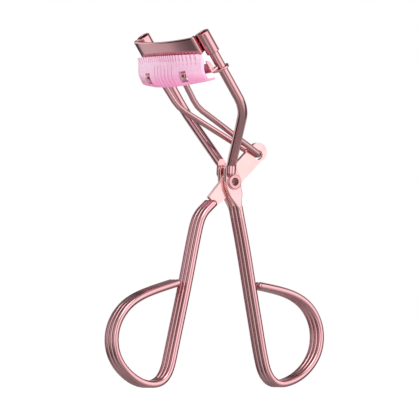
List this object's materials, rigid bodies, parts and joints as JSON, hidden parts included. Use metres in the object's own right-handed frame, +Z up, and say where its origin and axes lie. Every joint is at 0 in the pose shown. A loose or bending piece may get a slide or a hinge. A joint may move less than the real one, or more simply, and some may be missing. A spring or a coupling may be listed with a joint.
{
  "type": "eyelash curler",
  "caption": "Hand-held eyelash curler: finger-loop handles push a padded lower jaw up guide rods against a fixed curved upper jaw, behind a comb-edged guard.",
  "frame": {"origin": "centre of the hollow pivot rivet, midway between its two heads", "axes": "+Y along the pivot axis, +Z up from the handles to the jaws, and the jaws lean towards -X"},
  "size_m": [0.0687, 0.0368, 0.0997],
  "materials": {
    "rose_gold_metal": "mirror-polished rose-gold plated steel",
    "silicone_pad": "soft satin silicone",
    "pink_plastic": "glossy moulded plastic"
  },
  "bodies": {
    "frame": {"frame_handle_band": "rose_gold_metal", "frame_cheek_near": "rose_gold_metal", "frame_cheek_far": "rose_gold_metal", "upright_near": "rose_gold_metal", "upright_far": "rose_gold_metal", "pivot_rivet": "rose_gold_metal", "pivot_washers": "rose_gold_metal", "upper_jaw": "rose_gold_metal"},
    "lever": {"lever_handle_band": "rose_gold_metal", "lever_plate": "rose_gold_metal"},
    "jaw": {"lower_jaw": "rose_gold_metal", "clamp_pad": "silicone_pad", "push_rod_bracket": "rose_gold_metal", "comb_guard": "pink_plastic"},
    "rod": {"push_rod": "rose_gold_metal"}
  },
  "joints": [
    {"name": "lever_pivot", "type": "hinge", "parent": "frame", "child": "lever", "pos_m": [0, 0, 0], "axis": [0, -1, 0], "range_deg": [-10, 16.8]},
    {"name": "jaw_slide", "type": "slide", "parent": "frame", "child": "jaw", "axis": [-0.5446, 0, 0.8387], "range_m": [-0.00213, 0.00357]},
    {"name": "push_rod_swing", "type": "hinge", "parent": "jaw", "child": "rod", "pos_m": [-0.01864, 0, 0.02816], "axis": [0, -1, 0], "range_deg": [-1.25, 0.75]}
  ],
  "couplings": [
    {"joint": "jaw_slide", "follows": "lever_pivot", "m_per_rad": 0.01215},
    {"joint": "push_rod_swing", "follows": "lever_pivot", "ratio": -0.0725}
  ]
}
